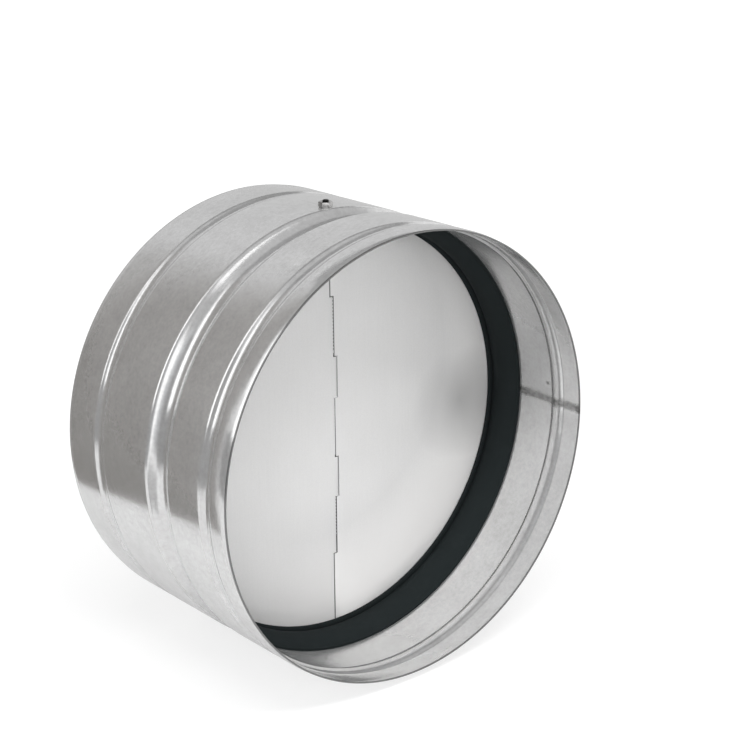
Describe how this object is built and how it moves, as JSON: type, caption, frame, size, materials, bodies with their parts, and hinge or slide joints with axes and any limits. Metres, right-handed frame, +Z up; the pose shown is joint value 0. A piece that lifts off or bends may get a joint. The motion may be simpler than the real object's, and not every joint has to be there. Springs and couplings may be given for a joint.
{
  "type": "backdraft damper",
  "caption": "Round duct damper: a beaded sheet sleeve in which two sprung half-disc blades on an upright axle close on a rubber ring and stop air from flowing back.",
  "frame": {"origin": "on the duct axis, halfway along the casing", "axes": "+Y along the duct in the direction of the air, from the inlet rim to the outlet rim; +Z up along the hinge axle; +X to the right as seen from the inlet"},
  "size_m": [0.199, 0.116, 0.2054],
  "materials": {
    "galvanised_sheet": "satin",
    "blade_sheet": "satin",
    "gasket_rubber": "matte",
    "axle_steel": "satin",
    "nut_zinc": "satin",
    "spring_steel": "bright"
  },
  "bodies": {
    "casing": {"casing": "galvanised_sheet", "blade_gasket": "gasket_rubber", "axle": "axle_steel", "top_axle_nut": "nut_zinc", "top_axle_spacer": "axle_steel", "bottom_axle_nut": "nut_zinc", "bottom_axle_spacer": "axle_steel", "upper_spring_coil": "spring_steel", "lower_spring_coil": "spring_steel"},
    "left_blade": {"left_blade": "blade_sheet", "upper_spring_left_leg": "spring_steel", "lower_spring_left_leg": "spring_steel"},
    "right_blade": {"right_blade": "blade_sheet", "upper_spring_right_leg": "spring_steel", "lower_spring_right_leg": "spring_steel"}
  },
  "joints": [
    {"name": "left_blade_hinge", "type": "hinge", "parent": "casing", "child": "left_blade", "pos_m": [0, 0.0012, 0], "axis": [0, 0, -1], "range_deg": [0, 85], "stiffness_Nm_per_rad": 0.02, "springref_deg": -20.05},
    {"name": "right_blade_hinge", "type": "hinge", "parent": "casing", "child": "right_blade", "pos_m": [0, 0.0012, 0], "axis": [0, 0, 1], "range_deg": [0, 85], "stiffness_Nm_per_rad": 0.02, "springref_deg": -20.05}
  ]
}
